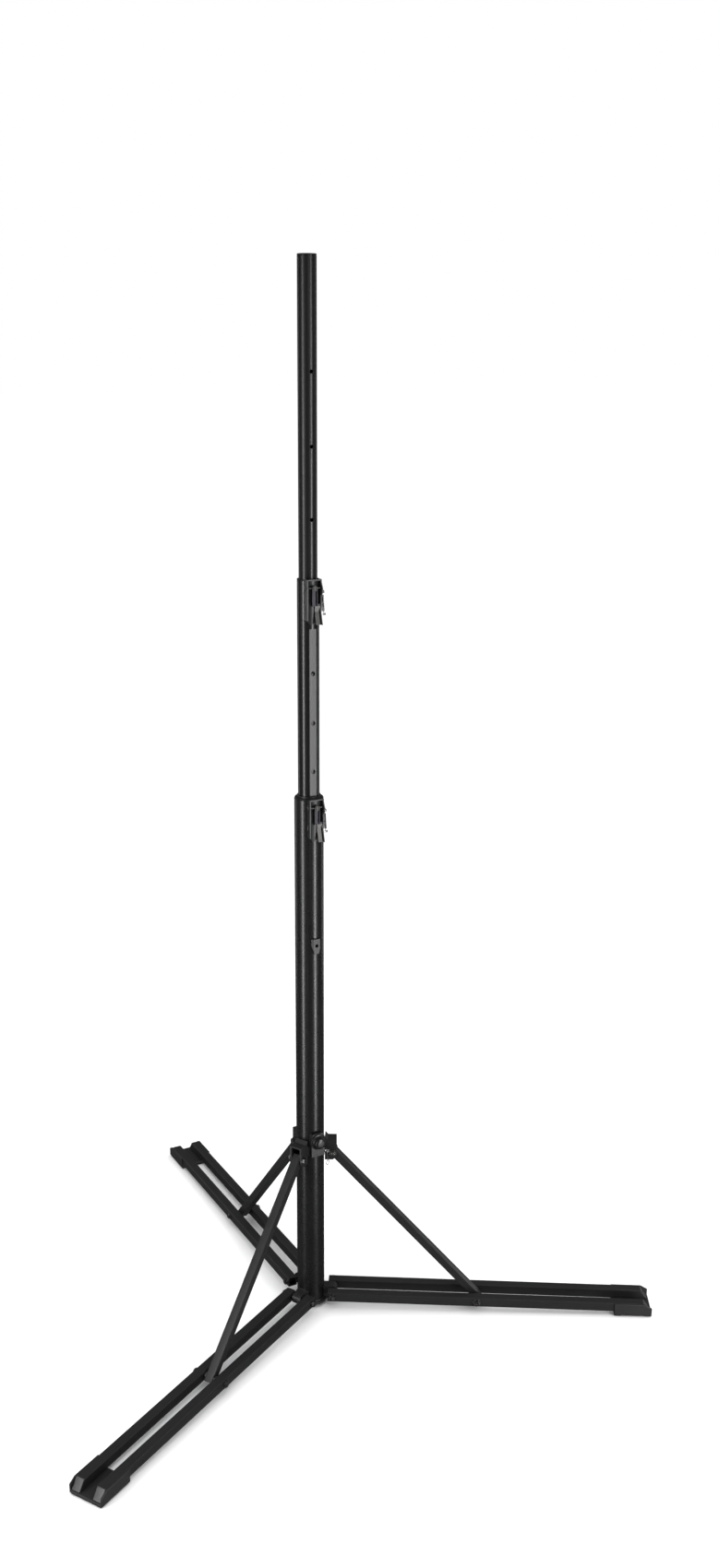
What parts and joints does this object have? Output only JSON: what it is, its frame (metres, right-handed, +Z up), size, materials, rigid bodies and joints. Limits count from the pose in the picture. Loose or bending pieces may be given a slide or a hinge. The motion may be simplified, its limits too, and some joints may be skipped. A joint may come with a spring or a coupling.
{
  "type": "lighting stand",
  "caption": "Black telescopic lighting stand on folding legs with braces, a sliding collar with a pull knob, and spring latches at the tube joints.",
  "frame": {"origin": "centre of the hub's flat underside, on the mast's axis, 8 mm above the floor that the feet stand on", "axes": "+Z up the mast; -Y towards the lock knob and the section latches, between leg a and leg b; leg c points along +Y"},
  "size_m": [1.2704, 1.1005, 2.1018],
  "materials": {
    "black_paint": "semi-gloss black powder coat",
    "black_anodised": "black anodised, drawn",
    "black_plastic": "moulded black",
    "rubber": "matt black",
    "zinc": "bright zinc plate",
    "bright_steel": "bright steel"
  },
  "bodies": {
    "mast": {"main_tube": "black_paint", "base_hub": "black_paint", "main_bush": "black_plastic", "catch_plate": "black_paint", "catch_screw": "bright_steel", "lower_latch_bracket": "black_paint", "lower_lever_pin": "bright_steel", "lower_spring_post": "bright_steel"},
    "mid_section": {"mid_tube": "black_paint", "mid_bush": "black_plastic", "mid_guide": "black_plastic", "upper_latch_bracket": "black_paint", "upper_lever_pin": "bright_steel", "upper_spring_post": "bright_steel"},
    "top_section": {"top_tube": "black_anodised", "top_guide": "black_plastic", "top_cap": "black_plastic"},
    "lower_lever": {"lower_latch_lever": "zinc", "lower_lever_bolt": "bright_steel", "lower_latch_spring": "bright_steel"},
    "upper_lever": {"upper_latch_lever": "zinc", "upper_lever_bolt": "bright_steel", "upper_latch_spring": "bright_steel"},
    "collar": {"collar": "black_paint", "collar_bolt_a": "zinc", "collar_bolt_b": "zinc", "collar_bolt_c": "zinc"},
    "knob": {"lock_knob": "black_plastic"},
    "plunger": {"ring_plunger": "bright_steel"},
    "ring": {"pull_ring": "bright_steel"},
    "leg_a": {"rail_left_a": "black_paint", "rail_right_a": "black_paint", "foot_shoe_a": "black_plastic", "foot_pad_a": "rubber", "hub_bolt_a": "zinc", "hub_sleeve_a": "zinc", "brace_bolt_a": "zinc", "brace_nut_a": "zinc"},
    "brace_a": {"brace_a": "black_paint", "brace_sleeve_a": "zinc"},
    "leg_b": {"rail_left_b": "black_paint", "rail_right_b": "black_paint", "foot_shoe_b": "black_plastic", "foot_pad_b": "rubber", "hub_bolt_b": "zinc", "hub_sleeve_b": "zinc", "brace_bolt_b": "zinc", "brace_nut_b": "zinc"},
    "brace_b": {"brace_b": "black_paint", "brace_sleeve_b": "zinc"},
    "leg_c": {"rail_left_c": "black_paint", "rail_right_c": "black_paint", "foot_shoe_c": "black_plastic", "foot_pad_c": "rubber", "hub_bolt_c": "zinc", "hub_sleeve_c": "zinc", "brace_bolt_c": "zinc", "brace_nut_c": "zinc"},
    "brace_c": {"brace_c": "black_paint", "brace_sleeve_c": "zinc"}
  },
  "joints": [
    {"name": "collar_slide", "type": "slide", "parent": "mast", "child": "collar", "axis": [0, 0, 1], "range_m": [0, 0.42362]},
    {"name": "leg_a_hinge", "type": "hinge", "parent": "mast", "child": "leg_a", "pos_m": [0.03949, -0.0228, 0.0201], "axis": [-0.5, -0.866, 0], "range_deg": [0, 90.81]},
    {"name": "brace_a_hinge", "type": "hinge", "parent": "collar", "child": "brace_a", "pos_m": [0.04105, -0.0237, 0.3446], "axis": [0.5, 0.866, 0], "range_deg": [0, 42.71]},
    {"name": "leg_b_hinge", "type": "hinge", "parent": "mast", "child": "leg_b", "pos_m": [-0.03949, -0.0228, 0.0201], "axis": [-0.5, 0.866, 0], "range_deg": [0, 90.81]},
    {"name": "brace_b_hinge", "type": "hinge", "parent": "collar", "child": "brace_b", "pos_m": [-0.04105, -0.0237, 0.3446], "axis": [0.5, -0.866, 0], "range_deg": [0, 42.71]},
    {"name": "leg_c_hinge", "type": "hinge", "parent": "mast", "child": "leg_c", "pos_m": [0, 0.0456, 0.0201], "axis": [1, 0, 0], "range_deg": [0, 90.81]},
    {"name": "brace_c_hinge", "type": "hinge", "parent": "collar", "child": "brace_c", "pos_m": [0, 0.0474, 0.3446], "axis": [-1, 0, 0], "range_deg": [0, 42.71]},
    {"name": "mid_tube_slide", "type": "slide", "parent": "mast", "child": "mid_section", "axis": [0, 0, 1], "range_m": [-0.33, 0.475]},
    {"name": "top_tube_slide", "type": "slide", "parent": "mid_section", "child": "top_section", "axis": [0, 0, 1], "range_m": [-0.55, 0.393]},
    {"name": "lower_latch_lever", "type": "hinge", "parent": "mast", "child": "lower_lever", "pos_m": [0, -0.0327, 1.0868], "axis": [-1, 0, 0], "range_deg": [0, 16], "stiffness_Nm_per_rad": 0.6, "springref_deg": -20.05},
    {"name": "upper_latch_lever", "type": "hinge", "parent": "mid_section", "child": "upper_lever", "pos_m": [0, -0.02515, 1.507], "axis": [-1, 0, 0], "range_deg": [0, 16], "stiffness_Nm_per_rad": 0.6, "springref_deg": -20.05},
    {"name": "lock_knob_pull", "type": "slide", "parent": "collar", "child": "knob", "axis": [0, -1, 0], "range_m": [0, 0.008], "stiffness_N_per_m": 500, "springref_m": -0.012},
    {"name": "ring_plunger_pull", "type": "slide", "parent": "collar", "child": "plunger", "axis": [0.4695, -0.8829, 0], "range_m": [0, 0.006], "stiffness_N_per_m": 400, "springref_m": -0.008},
    {"name": "pull_ring_swing", "type": "hinge", "parent": "plunger", "child": "ring", "pos_m": [0.02047, -0.0385, 0.3555], "axis": [0.4695, -0.8829, 0], "range_deg": [-60, 6]}
  ],
  "couplings": [
    {"joint": "leg_a_hinge", "follows": "collar_slide", "rad_per_m": 3.7406},
    {"joint": "brace_a_hinge", "follows": "collar_slide", "rad_per_m": 1.759},
    {"joint": "leg_b_hinge", "follows": "collar_slide", "rad_per_m": 3.7406},
    {"joint": "brace_b_hinge", "follows": "collar_slide", "rad_per_m": 1.759},
    {"joint": "leg_c_hinge", "follows": "collar_slide", "rad_per_m": 3.7406},
    {"joint": "brace_c_hinge", "follows": "collar_slide", "rad_per_m": 1.759}
  ]
}
